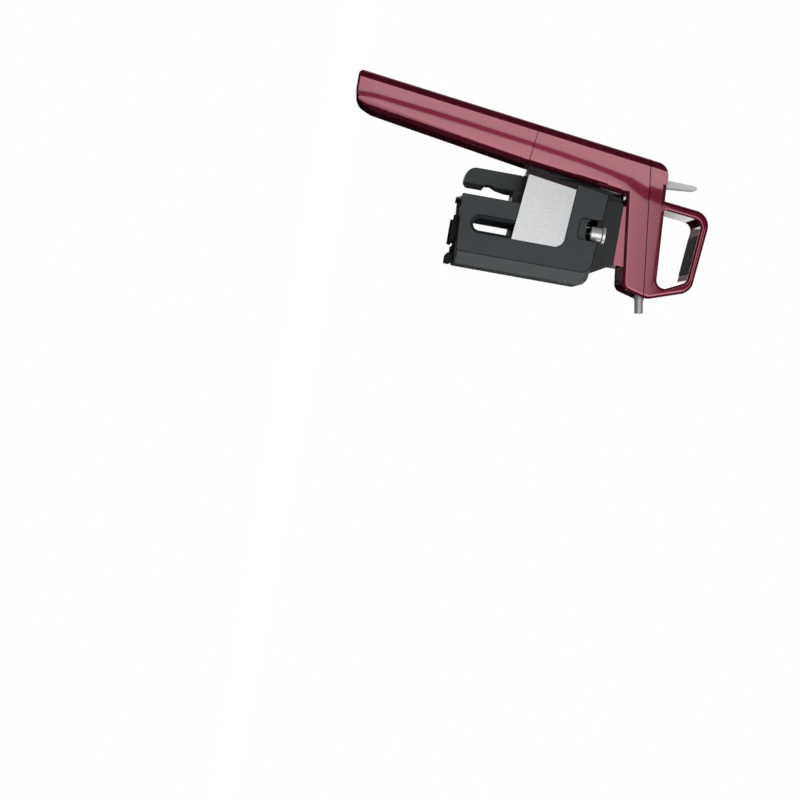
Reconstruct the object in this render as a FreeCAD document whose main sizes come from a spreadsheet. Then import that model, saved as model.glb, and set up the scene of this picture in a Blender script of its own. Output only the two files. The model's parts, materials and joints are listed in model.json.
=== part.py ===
import FreeCAD, Part
import math
import os
import Sketcher
from FreeCAD import Placement, Rotation, Vector

# Wine preservation dispenser that clamps to a bottle neck, in millimetres.
# +Z runs up the needle and the neck, +X points to the spout, +Y is the right-hand side.
# The origin is on the needle's axis, in the plane of the bottle's mouth. The parts are drawn from
# a datum plane above it, where the needle's guide starts, and raised by datum_rise.

SIZES = {
    # height of the datum plane that all parts are drawn from above the bottle's mouth
    "datum_rise": 9.2,
    # bottle neck and clamp
    "neck_radius": 14.75, "neck_clearance": 0.10, "pad_thickness": 2.4, "mouth_clearance": 0.1,
    "jaw_half_width": 25.0, "jaw_front": 21.7, "jaw_bottom": 84.8, "jaw_wall": 2.3, "jaw_rear_low": 16.7,
    "jaw_rear": 36.3, "jaw_lean": 8.07, "jaw_top": 5.5, "front_gap": 1.6,
    "bevel_start": 15.2, "bevel_depth": 8.0, "bevel_corner": 6.0, "jaw_corner": 5.0,
    "slot_width": 7.0, "slot_rim_width": 10.0, "slot_top": 50.0, "slot_bottom": 78.4, "slot_middle": 1.4,
    "plate_thickness": 1.0, "plate_proud": 0.3, "plate_corner": 5.5, "plate_front": 3.75,
    "plate_low": 51.4, "plate_high": 23.8, "wrap_run": 3.0, "wrap_depth": 3.2,
    # hinges of the two jaws
    "pin_setback": 7.5, "pin_offset": 19.4, "pin_radius": 1.9, "pin_clearance": 0.06,
    "sleeve_radius": 4.0, "sleeve_length": 6.0, "head_radius": 4.7, "head_thickness": 1.6,
    "knuckle_radius": 3.2, "knuckle_height": 6.0, "upper_knuckle": 9.0, "spring_height": 3.2,
    # clamp frame
    "block_top": 4.5, "block_bottom": 8.0, "block_half_width": 16.6, "wall_half_width": 13.0,
    "wall_top_half_width": 7.5,
    "rail_back": 37.8, "rail_flange": 1.8, "rail_depth": 4.3, "rail_half_width": 6.0, "rail_stem": 2.5,
    "rail_top": 16.0, "rail_bottom": 51.0, "rail_clearance": 0.15,
    "carriage_length": 12.0, "carriage_half_width": 8.5,
    # lever
    "lever_half_width": 7.8, "lever_pivot_setback": 28.5, "lever_pivot_drop": 50.0,
    "lever_pin_radius": 1.5, "lever_tip": 85.2, "lever_wall": 2.3,
    # head
    "tilt": 7.0, "seam_x": 62.9, "seam_z": 49.0, "head_half_width": 16.0, "shell_wall": 2.0,
    "spine_depth": 23.4, "spine_round": 4.6, "arm_front": 22.3, "arm_underside": 9.1, "cover_seam": 22.0,
    "boss_half_width": 14.8, "boss_clearance": 0.4, "boss_rear": 26.0, "boss_front": 7.2,
    "cover_wall": 2.3, "loop_height": 54.8, "edge_round": 2.4,
    # gas capsule, regulator and cup
    "capsule_radius": 9.3, "capsule_neck_radius": 4.2, "capsule_length": 65.4, "capsule_tip": 4.5,
    "bore_clearance": 0.2, "cup_axis_depth": 10.9, "cup_length": 105.4, "cup_end_depth": 20.0,
    "cup_gap": 0.35, "regulator_length": 19.0, "collar_length": 5.0,
    # liquid and gas path
    "needle_radius": 0.75, "needle_bore": 0.45, "needle_tip": 51.5, "hub_radius": 3.2,
    "tube_radius": 2.45, "tube_shoulder": 0.3, "tube_bore": 1.9, "tube_angle": 9.5,
    "tube_start_x": 23.1, "tube_start_z": 24.9, "tube_inside": 12.8, "tube_outside": 7.5,
    "valve_half_width": 7.6, "valve_top": 22.6, "rod_radius": 1.0, "rod_height": 19.2, "rod_clearance": 0.05,
    "spring_length": 24.3,
    # trigger
    "trigger_x": 44.3, "trigger_pivot_z": 12.5, "trigger_half_width": 5.6, "trigger_tip": 45.6,
    "trigger_root_thickness": 4.6, "trigger_tip_thickness": 2.2, "trigger_pin_radius": 1.5,
}

doc = FreeCAD.newDocument("WineDispenser")
sheet = doc.addObject("Spreadsheet::Sheet", "Sizes")
for row, (alias, value) in enumerate(SIZES.items(), start=1):
    sheet.set(f"A{row}", alias)
    sheet.set(f"B{row}", str(value))
    sheet.setAlias(f"B{row}", alias)
doc.recompute()
nodes = []


def size(alias):
    """One driving size, as the sheet holds it."""
    return float(sheet.get(alias))


# ---------------------------------------------------------------- ways to make a sub-part

def origin_plane(body, role):
    return next(plane for plane in body.Origin.OriginFeatures if plane.Role == role)


def outline(body, role, points):
    """Closed outline of straight runs; every corner's two distances are bound to the sheet."""
    sketch = body.newObject("Sketcher::SketchObject", body.Label + "_outline")
    sketch.AttachmentSupport = [(origin_plane(body, role), "")]
    sketch.MapMode = "FlatFace"
    count = len(points)
    first = [Vector(1 + i, 1 + (i * 7) % 5, 0) for i in range(count)]
    for i in range(count):
        sketch.addGeometry(Part.LineSegment(first[i], first[(i + 1) % count]))
    for i in range(count):
        sketch.addConstraint(Sketcher.Constraint("Coincident", i, 2, (i + 1) % count, 1))
    for i, pair in enumerate(points):
        for kind, distance in zip(("DistanceX", "DistanceY"), pair):
            index = sketch.addConstraint(Sketcher.Constraint(kind, -1, 1, i, 1, 1.0))
            sketch.setExpression(f"Constraints[{index}]", distance)
    return sketch


def named(text):
    """Writes @name for a cell of the sheet."""
    return text.replace("@", "Sizes.")


def place(feature, where=("0", "0", "0"), turn=None):
    for axis, distance in zip("xyz", (where[0], where[1], f"{where[2]} + @datum_rise")):
        feature.setExpression("Placement.Base." + axis, named(distance))
    if turn is not None:
        feature.Placement = Placement(feature.Placement.Base, turn)


def turned(label, points, where, turn=None):
    """Body of revolution: corners as (radius, height) pairs, turned about its own +Z."""
    body = doc.addObject("PartDesign::Body", label)
    body.Label = label
    sketch = outline(body, "XZ_Plane", [(named(r), named(z)) for r, z in points])
    revolution = body.newObject("PartDesign::Revolution", label + "_turned")
    revolution.Profile = sketch
    revolution.ReferenceAxis = (sketch, ["V_Axis"])
    revolution.Angle = 360
    body.Tip = revolution
    place(body, where, turn)
    nodes.append(body)
    return body


def pad(label, role, points, length, where=("0", "0", "0"), turn=None):
    """Body with one padded outline, symmetric about its sketch plane."""
    body = doc.addObject("PartDesign::Body", label)
    body.Label = label
    sketch = outline(body, role, [(named(u), named(v)) for u, v in points])
    solid = body.newObject("PartDesign::Pad", label + "_pad")
    solid.Profile = sketch
    solid.Midplane = True
    solid.setExpression("Length", named(length))
    body.Tip = solid
    place(body, where, turn)
    nodes.append(body)
    return body


def shaped(label, shape):
    """Sub-part whose free-form shape is worked out from the sheet."""
    feature = doc.addObject("Part::Feature", label)
    feature.Label = label
    feature.Shape = shape.removeSplitter()
    place(feature)
    nodes.append(feature)
    return feature


def slab(x0, x1, y0, y1, z0, z1):
    return Part.makeBox(x1 - x0, y1 - y0, z1 - z0, Vector(x0, y0, z0))


def rod(radius, start, end):
    return Part.makeCylinder(radius, (end - start).Length, start, end - start)


def rounded_wire(corners, lift):
    """Closed wire through corners (a, b, radius), each corner with its own arc; lift(a, b) places a point."""
    count = len(corners)
    points = [Vector(a, b, 0) for a, b, _ in corners]
    runs = []
    for i, (_, _, radius) in enumerate(corners):
        before = (points[i - 1] - points[i]).normalize()
        after = (points[(i + 1) % count] - points[i]).normalize()
        half = before.getAngle(after) / 2
        cut = radius / math.tan(half)
        middle = (before + after).normalize() * (radius / math.sin(half) - radius)
        runs.append((points[i] + before * cut, points[i] + middle, points[i] + after * cut, radius))
    edges = []
    for i, (start, middle, end, radius) in enumerate(runs):
        if radius > 0:
            edges.append(Part.Arc(*[lift(p.x, p.y) for p in (start, middle, end)]).toShape())
        following = runs[(i + 1) % count][0]
        if (following - end).Length > 1e-6:
            edges.append(Part.makeLine(lift(end.x, end.y), lift(following.x, following.y)))
    return Part.Wire(edges)


def side_plate(corners, y0, y1):
    """Plate with an outline in X and Z, from y0 to y1."""
    wire = rounded_wire(corners, lambda a, b: Vector(a, y0, b))
    return Part.Face(wire).extrude(Vector(0, y1 - y0, 0))


def floor_plate(corners, z0, z1):
    """Plate with an outline in X and Y, from z0 to z1."""
    wire = rounded_wire(corners, lambda a, b: Vector(a, b, z0))
    return Part.Face(wire).extrude(Vector(0, 0, z1 - z0))


def edges_on(shape, plane_y, keep):
    """Edges that lie in the plane Y = plane_y and pass the test."""
    found = []
    for edge in shape.Edges:
        box = edge.BoundBox
        if abs(box.YMin - plane_y) < 1e-4 and abs(box.YMax - plane_y) < 1e-4 and keep(edge.CenterOfMass):
            found.append(edge)
    return found


# ---------------------------------------------------------------- the head's slanted frame

TILT = math.radians(size("tilt"))
LEAN = Rotation(Vector(0, 1, 0), size("tilt"))
RISE = math.tan(TILT)


def spine_point(depth, along, y=0):
    """Point in the spine's own frame: depth in from its back, along from the cup's seam up."""
    x = -size("seam_x") + depth * math.cos(TILT) + along * math.sin(TILT)
    z = -size("seam_z") - depth * math.sin(TILT) + along * math.cos(TILT)
    return Vector(x, y, z)


def on_spine_axis(along):
    """Place on the capsule's axis, as expressions of the sheet."""
    x = f"-@seam_x + @cup_axis_depth * cos(@tilt) + ({along}) * sin(@tilt)"
    z = f"-@seam_z - @cup_axis_depth * sin(@tilt) + ({along}) * cos(@tilt)"
    return (x, "0", z)


def spine_section(depth, along, half_width, radius):
    """Rounded section across the spine or cup."""
    corners = [(0, -half_width, radius), (depth, -half_width, radius),
               (depth, half_width, radius), (0, half_width, radius)]
    return rounded_wire(corners, lambda a, b: spine_point(a, along, b))


# ---------------------------------------------------------------- head: shell, cover and what they hold

HALF = size("head_half_width")
DEPTH = size("spine_depth")
WALL = size("shell_wall")
RAIL_REAR = -size("rail_back")
RAIL_FRONT = RAIL_REAR + size("rail_depth")


def seam_at(x):
    return size("cover_seam") + RISE * x


def underside_at(x):
    return size("arm_underside") + RISE * x


def cover_top_at(x):
    return 29.75 + 0.069 * x


def spine_back_at(z):
    return -size("seam_x") + math.tan(TILT) * (z + size("seam_z"))


def head_profile():
    """Side outline of the head above the spine: back, top corner, chin."""
    front = size("arm_front")
    back_low = spine_back_at(2)
    back_high = spine_back_at(29)
    inner = spine_point(DEPTH, 40).x
    return [(back_low, 2, 0), (back_high, cover_top_at(back_high), 9.0),
            (front - 3, cover_top_at(front - 3), 2.4), (front, seam_at(front), 1.5),
            (front - 3.3, underside_at(front - 3.3) + 0.4, 5.0), (inner, underside_at(inner), 0),
            (inner, 2, 0)]


def seam_cut(above):
    """Half space above or below the cover's seam, as a large plate."""
    reach = 200 if above else -200
    corners = [(-120, seam_at(-120), 0), (80, seam_at(80), 0),
               (80, seam_at(80) + reach, 0), (-120, seam_at(-120) + reach, 0)]
    return side_plate(corners, -60, 60)


def loop_corners():
    """Outer outline of the finger loop, from the chin round to the cover's top."""
    return [(size("arm_front"), seam_at(size("arm_front")) - 1, 0), (size("arm_front") + 0.1, 28.0, 2.0),
            (14.7, 50.8, 8.5), (-30.2, size("loop_height"), 9.0), (-33.1, 27.0, 0), (-20, 22, 0)]


def loop_window():
    """Inner outline of the finger loop."""
    return [(-28.1, cover_top_at(-28.1), 1.2), (-25.7, 49.9, 5.0), (9.6, 47.2, 4.0),
            (17.6, cover_top_at(17.6), 4.5)]


def make_head_outer():
    """Whole outer form of the head below the loop, before it is hollowed and split."""
    spine = Part.makeSolid(Part.makeShell(
        Part.makeLoft([spine_section(DEPTH, 0, HALF, size("spine_round")),
                       spine_section(DEPTH, 100, HALF, size("spine_round"))], True, True).Faces))
    arm = side_plate(head_profile(), -HALF, HALF)
    sides = edges_on(arm, -HALF, lambda c: c.z > 3) + edges_on(arm, HALF, lambda c: c.z > 3)
    top = [e for e in sides if e.CenterOfMass.z > seam_at(e.CenterOfMass.x) and e.CenterOfMass.x > -54.5]
    arm = arm.makeFillet(size("edge_round"), top)
    radius = size("spine_round")
    section = rounded_wire([(0, -HALF, radius), (300, -HALF, 0), (300, HALF, 0), (0, HALF, radius)],
                           lambda a, b: spine_point(a, -100, b))
    rounded = Part.Face(section).extrude(axis_point(200) - axis_point(-100))
    return spine, arm.common(rounded)


def make_head_shell():
    spine, arm = make_head_outer()
    back = side_plate([(-90, -60, 0), (-30, -60, 0), (-30, 30, 0), (-90, 60, 0)], -60, 60)
    outer = spine.common(back).fuse(arm).removeSplitter()
    # the boss under the arm that meets the clamp frame
    low = size("block_top") + size("boss_clearance")
    boss = side_plate([(-size("boss_rear"), low, 0), (size("boss_front"), low, 0),
                       (size("boss_front"), underside_at(size("boss_front")) + 1, 0),
                       (-size("boss_rear"), underside_at(-size("boss_rear")) + 1, 0)],
                      -size("boss_half_width"), size("boss_half_width"))
    shell = outer.fuse(boss).removeSplitter()
    shell = shell.cut(seam_cut(True))
    # chamber of the arm, open to the cover
    inner = HALF - WALL
    rear = -53.0 + WALL
    chamber = side_plate([(rear + 0.6, underside_at(rear) + 1, 0), (-25, underside_at(-25) + WALL, 0),
                          (17.4, underside_at(17.4) + WALL, 1.5), (19.9, 40, 0), (rear + 3.5, 40, 0)],
                          -inner, inner)
    shell = shell.cut(chamber)
    # bore of the spine for the regulator, and the gas line's way up from it
    bore = size("capsule_radius") + size("bore_clearance")
    shell = shell.cut(rod(bore, axis_point(-1), axis_point(28)))
    shell = shell.cut(rod(7.2, axis_point(27), axis_point(46)))
    shell = shell.cut(slab(-52.5, -40.5, -12.5, 12.5, -10, 16))
    # way of the rail and pocket of the carriage
    gap = size("rail_clearance") + 0.45
    half = size("rail_half_width") + gap
    shell = shell.cut(slab(RAIL_REAR - gap, -26.4, -half, half, -70, size("rail_top") + 1.2))
    shell = shell.cut(slab(-40.5, -34.2, -size("carriage_half_width"), size("carriage_half_width"),
                           -60, carriage_top()))
    # needle's way through the boss, spout's way through the chin, vents in the underside
    shell = shell.cut(rod(size("hub_radius") + 0.1, Vector(0, 0, 0), Vector(0, 0, 30)))
    shell = shell.cut(rod(size("tube_radius") + size("tube_shoulder") + 0.1, tube_point(-12), tube_point(30)))
    for side in (-1, 1):
        shell = shell.cut(slab(8.7, 12.6, side * 9 - 1, side * 9 + 1, 5, 11.9))
    # trigger's pivot and its swing
    shell = shell.cut(rod(size("trigger_pin_radius") + 0.02, pivot_of_trigger(-14.8), pivot_of_trigger(14.8)))
    for x, y in valve_screws():
        shell = shell.cut(rod(1.25, Vector(x, y, underside_at(x) - 1.4), Vector(x, y, 30)))
    for x, y in cover_screws():
        post = rod(2.8, Vector(x, y, underside_at(x) + 1), Vector(x, y, seam_at(x) - 1.2))
        shell = shell.fuse(post.cut(rod(1.25, Vector(x, y, 0), Vector(x, y, 40))))
    return shell


def axis_point(along, y=0):
    return spine_point(size("cup_axis_depth"), along, y)


def carriage_top():
    return -size("rail_bottom") + 0.5 + size("carriage_length")


def tube_point(along):
    """Point on the spout's axis, from where it leaves the front of the chin."""
    lean = math.radians(size("tube_angle"))
    return Vector(size("tube_start_x") + along * math.cos(lean), 0,
                  size("tube_start_z") + along * math.sin(lean))


def pivot_of_trigger(y):
    return Vector(-size("trigger_x"), y, size("trigger_pivot_z"))


def valve_screws():
    return [(-9.5, -5.2), (-9.5, 5.2)]


def cover_screws():
    return [(-22.0, -10.6), (-22.0, 10.6), (12.0, -10.6), (12.0, 10.6)]


def make_top_cover():
    spine, arm = make_head_outer()
    back = side_plate([(-90, 0, 0), (-42, 0, 0), (-42, 60, 0), (-90, 60, 0)], -60, 60)
    trim = side_plate([(spine_back_at(0) - 1, 0, 0),
                       (spine_back_at(29), cover_top_at(spine_back_at(29)), 9.0),
                       (30, cover_top_at(30), 0), (30, 0, 0)], -60, 60)
    cap = spine.common(back).common(trim).fuse(arm).removeSplitter()
    loop = side_plate(loop_corners(), -HALF, HALF)
    rim = [e for e in edges_on(loop, -HALF, lambda c: True) + edges_on(loop, HALF, lambda c: True)
           if e.CenterOfMass.z > 28 or e.CenterOfMass.x > 15]
    loop = loop.makeFillet(size("edge_round"), rim)
    window = side_plate(loop_window(), -HALF - 1, HALF + 1)
    cover = cap.fuse(loop).cut(window).cut(seam_cut(False))
    # hollow underside, the trigger's slot, the spout's way out
    wall = size("cover_wall")
    inner = HALF - wall
    hollow = side_plate([(-50.2, 0, 0), (-46.4, cover_top_at(-46.4) - wall, 3.0),
                         (17.0, cover_top_at(17.0) - wall, 1.5), (19.0, 0, 0)], -inner, inner)
    cover = cover.cut(hollow)
    half = size("trigger_half_width") + 0.5
    cover = cover.cut(slab(-size("trigger_x") - 2.4, -36.2, -half, half, 20, 34))
    cover = cover.cut(rod(size("tube_radius") + size("tube_shoulder") + 0.1, tube_point(-12), tube_point(30)))
    for x, y in cover_screws():
        post = rod(2.8, Vector(x, y, seam_at(x) + 0.8), Vector(x, y, cover_top_at(x) - 1))
        cover = cover.fuse(post.cut(rod(1.0, Vector(x, y, 0), Vector(x, y, cover_top_at(x) - 1.5))))
    return cover.cut(grip_block(0.0))


def grip_block(play):
    """Seat of the finger grip in the loop's outer bar."""
    low, high = (-17.5, 49.75), (4.5, 47.9)
    slope = (high[1] - low[1]) / (high[0] - low[0])
    corners = [(low[0], low[1] - 1.0, 0), (high[0], high[1] - 1.0, 0),
               (high[0], high[1] + 1.4 - play, 0), (low[0], low[1] + 1.4 - play, 0)]
    base = side_plate(corners, -12.5 + play, 12.5 - play)
    return base


def make_loop_grip():
    """Rubber insert with ridges that run along the bar."""
    grip = grip_block(0.05)
    for step in range(5):
        y = -12.5 + 2.5 + step * 5.0
        groove = side_plate([(-20, 48.0, 0), (8, 45.65, 0), (8, 47.1, 0), (-20, 49.45, 0)], y - 0.9, y + 0.9)
        grip = grip.cut(groove)
    return grip


shaped("head_shell", make_head_shell())
shaped("top_cover", make_top_cover())
shaped("loop_grip", make_loop_grip())

# ---------------------------------------------------------------- capsule cup and its filling


def cup_inner_at(along):
    """Depth of the cup's inner side, which tapers towards its end."""
    return DEPTH + (DEPTH - size("cup_end_depth")) * along / size("cup_length")


def make_cup_shell():
    gap, end = -size("cup_gap"), -size("cup_length")
    sections = [spine_section(cup_inner_at(gap), gap, HALF, size("spine_round")),
                spine_section(cup_inner_at(end - 2), end - 2, HALF, size("spine_round"))]
    outer = Part.makeLoft(sections, True, True)
    side = [(0, gap + 5, 0), (0, end, 2.6), (cup_inner_at(end) - 3, end + 2.2, 9.0),
            (cup_inner_at(end) + 1.2, end + 16, 0), (DEPTH + 1, gap + 5, 0)]
    wire = rounded_wire(side, lambda a, b: spine_point(a, b, -HALF - 1))
    outer = outer.common(Part.Face(wire).extrude(Vector(0, 2 * HALF + 2, 0)))
    bore = size("capsule_radius") + size("bore_clearance")
    outer = outer.cut(rod(bore, axis_point(1), axis_point(-bore_floor())))
    return outer.cut(core_block(0.0))


def bore_floor():
    return size("capsule_length") - size("capsule_tip") + 2.2


def core_block(play):
    """Chamber in the cup's lower end."""
    near, far = -bore_floor() - 2.6, -size("cup_length") + 5.0
    corners = [(2.6 + play, near - play, 0), (2.6 + play, far + play, 2.0),
               (cup_inner_at(far) - 6.5 - play, far + play, 5.0),
               (cup_inner_at(far) - 2.6 - play, far + 12, 0),
               (cup_inner_at(near) - 2.6 - play, near - play, 0)]
    wire = rounded_wire(corners, lambda a, b: spine_point(a, b, -11.5 + play))
    return Part.Face(wire).extrude(Vector(0, 2 * (11.5 - play), 0))


def make_cup_core():
    """Ribbed plastic core that stiffens the cup's lower end."""
    core = core_block(0.1)
    for y in (-7.6, -2.5, 2.6):
        pocket = rounded_wire([(4.6, -bore_floor() - 1, 0), (4.6, -size("cup_length") + 9, 0),
                               (cup_inner_at(-80) - 8, -size("cup_length") + 9, 0),
                               (16.0, -bore_floor() - 1, 0)],
                              lambda a, b: spine_point(a, b, y))
        core = core.cut(Part.Face(pocket).extrude(Vector(0, 4.8, 0)))
    return core


shaped("cup_shell", make_cup_shell())
shaped("cup_core", make_cup_core())

bottom = "(@capsule_tip - @capsule_length)"
turned("cup_pad", [("0", "0"), ("@capsule_radius - 1.2", "0"), ("@capsule_radius - 0.6", "0.6"),
                   ("@capsule_radius - 0.6", "1.8"), ("0", "1.8")],
       on_spine_axis(bottom + " - 1.95"), LEAN)
turned("gas_capsule", [
    ("1.3", "@capsule_length - 11"), ("@capsule_radius - 1.8", "@capsule_length - 19"),
    ("@capsule_radius - 1.8", "3.5"), ("0", "1.8"), ("0", "0"), ("@capsule_radius - 3", "0"),
    ("@capsule_radius", "3.5"), ("@capsule_radius", "@capsule_length - 16.5"),
    ("@capsule_radius - 1.9", "@capsule_length - 12.2"), ("@capsule_neck_radius", "@capsule_length - 8.6"),
    ("@capsule_neck_radius", "@capsule_length"), ("1.3", "@capsule_length")],
    on_spine_axis(bottom), LEAN)

# ---------------------------------------------------------------- regulator and gas path

turned("regulator_body", [
    ("@capsule_neck_radius + 0.2", "0"), ("@capsule_radius - 0.1", "0"),
    ("@capsule_radius - 0.1", "@regulator_length"), ("6.8", "@regulator_length"),
    ("6.8", "@regulator_length + 14"),
    ("2.2", "@regulator_length + 14"), ("2.2", "@regulator_length + 18"), ("1.0", "@regulator_length + 18"),
    ("1.0", "8.5"), ("@capsule_neck_radius + 0.2", "8.5")],
    on_spine_axis("3.2"), LEAN)
turned("threaded_collar", [
    ("@capsule_neck_radius + 0.3", "@collar_length + 0.5"),
    ("@capsule_neck_radius + 0.3", "@collar_length + 3"),
    ("@capsule_radius", "@collar_length + 3"),
    ("@capsule_radius", "5.2"), ("@capsule_radius - 0.4", "4.7"), ("@capsule_radius", "4.2"),
    ("@capsule_radius", "3.2"), ("@capsule_radius - 0.4", "2.7"), ("@capsule_radius", "2.2"),
    ("@capsule_radius", "1.2"), ("@capsule_radius - 0.4", "0.7"), ("@capsule_radius - 0.6", "0"),
    ("@capsule_radius - 1.6", "0")],
    on_spine_axis("-@collar_length"), LEAN)
turned("piercing_pin", [("0", "0"), ("0.35", "0"), ("0.9", "2.2"), ("0.9", "8"), ("3.8", "8"), ("3.8", "9.2"),
                        ("0", "9.2")],
       on_spine_axis("1.2"), LEAN)
turned("capsule_seal", [("1.6", "0"), ("3.4", "0"), ("3.4", "1.6"), ("1.6", "1.6")],
       on_spine_axis("@capsule_tip + 0.15"), LEAN)


def bent_tube(points, bend, outer, inner):
    """Tube along straight runs joined by tangent arcs."""
    def path():
        pieces = []
        at = points[0]
        for i in range(1, len(points) - 1):
            before = (points[i - 1] - points[i]).normalize()
            after = (points[i + 1] - points[i]).normalize()
            half = before.getAngle(after) / 2
            cut = bend / math.tan(half)
            start = points[i] + before * cut
            end = points[i] + after * cut
            middle = points[i] + (before + after).normalize() * (bend / math.sin(half) - bend)
            pieces.append(Part.LineSegment(at, start).toShape())
            pieces.append(Part.Arc(start, middle, end).toShape())
            at = end
        pieces.append(Part.LineSegment(at, points[-1]).toShape())
        return Part.Wire(pieces)

    def sweep(radius):
        direction = points[1] - points[0]
        circle = Part.Wire(Part.makeCircle(radius, points[0], direction))
        return path().makePipeShell([circle], True, False)

    return sweep(outer).cut(sweep(inner))


def make_gas_line():
    """Gas line from the regulator's nipple, beside the trigger, to the valve block."""
    nipple_end = 3.2 + size("regulator_length") + 18.0
    return [axis_point(nipple_end + 0.03), axis_point(nipple_end + 6), Vector(-48.6, 9.4, 1.0),
            Vector(-46.4, 9.4, 8.3), Vector(-33.0, 9.4, 9.4), Vector(-27.0, 5.2, 18.8),
            Vector(-13.02, 5.2, 18.8)]


shaped("gas_line", bent_tube(make_gas_line(), 2.6, 1.3, 0.7))


def make_valve_block():
    half, top = size("valve_half_width"), size("valve_top")
    block = slab(-13.0, 15.0, -half, half, 8.0, top).fuse(slab(-4.0, 15.0, -half, half, top - 0.6, top + 3.8))
    block = block.cut(side_plate([(-16, 5, 0), (18, 5, 0), (18, underside_at(18) + WALL + 0.1, 0),
                                  (-16, underside_at(-16) + WALL + 0.1, 0)], -20, 20))
    rod_bore = size("rod_radius") + size("rod_clearance")
    height = size("rod_height")
    block = block.cut(rod(rod_bore, Vector(-14, 0, height), Vector(-4, 0, height)))
    block = block.cut(rod(2.2, Vector(-14, 0, height), Vector(-10.8, 0, height)))
    block = block.cut(rod(2.0, Vector(0, 0, 8), Vector(0, 0, 17.2)))
    block = block.cut(rod(size("hub_radius") + 0.1, Vector(0, 0, 8), Vector(0, 0, 13.75)))
    block = block.cut(rod(size("tube_radius") + size("tube_shoulder") + 0.02, tube_point(-15), tube_point(0)))
    for x, y in valve_screws():
        block = block.cut(rod(1.3, Vector(x, y, 5), Vector(x, y, 30)))
    return block


shaped("valve_block", make_valve_block())
for index, (x, y) in enumerate(valve_screws(), start=1):
    turned(f"valve_screw_{index}", [("0", "0"), ("1.2", "0"), ("1.2", "15.4"), ("2.2", "15.4"),
                                    ("2.2", "16.8"),
                                    ("0.9", "16.8"), ("0.9", "16.1"), ("0", "16.1")],
           (str(x), str(y), "@valve_top + 0.02 - 15.4"))
for index, (x, y) in enumerate(cover_screws(), start=1):
    turned(f"cover_screw_{index}", [("0", "0"), ("0.95", "0"), ("0.95", "8.6"), ("0", "8.6")],
           (str(x), str(y), f"@cover_seam + {x} * tan(@tilt) - 5"))

# ---------------------------------------------------------------- needle and spout

turned("needle", [("0", "0"), ("@needle_radius", "2.6"), ("@needle_radius", "@needle_tip + 13.6"),
                  ("@needle_bore", "@needle_tip + 13.6"), ("@needle_bore", "3.4"), ("0", "2.2")],
       ("0", "0", "-@needle_tip"))
turned("needle_hub", [("@needle_radius + 0.02", "0"), ("2.2", "0"), ("@hub_radius", "1.2"),
                      ("@hub_radius", "7.4"),
                      ("1.9", "7.4"), ("1.9", "11.4"), ("@needle_radius + 0.02", "11.4")],
       ("0", "0", "@block_top + @boss_clearance + 0.4"))
turned("hub_ring", [("1.92", "0"), ("@hub_radius", "0"), ("@hub_radius", "0.9"), ("1.92", "0.9")],
       ("0", "0", "@block_top + @boss_clearance + 0.4 + 7.42"))
spout_turn = Rotation(Vector(0, 1, 0), 90 - size("tube_angle"))
turned("spout_tube", [
    ("@tube_bore", "0"), ("@tube_radius + @tube_shoulder", "0"),
    ("@tube_radius + @tube_shoulder", "@tube_inside + 0.5"), ("@tube_radius", "@tube_inside + 0.5"),
    ("@tube_radius", "@tube_inside + @tube_outside"),
    ("@tube_bore + 0.15", "@tube_inside + @tube_outside + 0.3"),
    ("@tube_bore", "@tube_inside + @tube_outside + 0.1")],
    ("@tube_start_x - @tube_inside * cos(@tube_angle)", "0",
     "@tube_start_z - @tube_inside * sin(@tube_angle)"), spout_turn)

# ---------------------------------------------------------------- trigger and valve rod


def make_trigger():
    pivot_x, pivot_z = -size("trigger_x"), size("trigger_pivot_z")
    half = size("trigger_half_width")
    thick, thin = size("trigger_root_thickness"), size("trigger_tip_thickness")
    back = pivot_x - 1.6
    blade = side_plate([(back - 0.2, pivot_z, 0), (back, 26, 0), (back + 0.7, size("trigger_tip"), 0.9),
                        (back + 0.7 + thin, size("trigger_tip") - 0.3, 0.7), (back + thick, 24, 0),
                        (back + thick + 0.3, pivot_z, 0)], -half, half)
    hub = rod(3.2, pivot_of_trigger(-half), pivot_of_trigger(half))
    blade = blade.fuse(hub)
    return blade.cut(rod(size("trigger_pin_radius") + 0.06, pivot_of_trigger(-half - 1),
                         pivot_of_trigger(half + 1)))


shaped("trigger", make_trigger())
turned("trigger_pin", [("0", "0"), ("@trigger_pin_radius", "0"), ("@trigger_pin_radius", "29.4"),
                       ("0", "29.4")],
       ("-@trigger_x", "14.7", "@trigger_pivot_z"), Rotation(Vector(1, 0, 0), 90))
turned("valve_rod", [("0", "0"), ("3.0", "0"), ("3.0", "1.4"), ("@rod_radius", "1.4"),
                     ("@rod_radius", "34.0"), ("0", "34.0")],
       ("-@trigger_x - 1.6 + @trigger_root_thickness + 0.55", "0", "@rod_height"),
       Rotation(Vector(0, 1, 0), 90))
turned("rod_seal", [("@rod_radius + 0.05", "0"), ("2.15", "0"), ("2.15", "1.5"),
                    ("@rod_radius + 0.05", "1.5")],
       ("-12.6", "0", "@rod_height"), Rotation(Vector(0, 1, 0), 90))
turned("valve_spring", [("1.5", "0"), ("2.4", "0"), ("2.4", "@spring_length"), ("1.5", "@spring_length")],
       ("-13.05 - @spring_length", "0", "@rod_height"), Rotation(Vector(0, 1, 0), 90))

# ---------------------------------------------------------------- clamp frame, rail and lever

NECK = size("neck_radius") + size("neck_clearance")
PAD_OUTER = NECK + size("pad_thickness")
JAW = size("jaw_half_width")
PIN_X = -size("pin_setback")
PIN_Y = size("pin_offset")
LUG_TOP, LUG_BOTTOM = -24.4, -31.0


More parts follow.
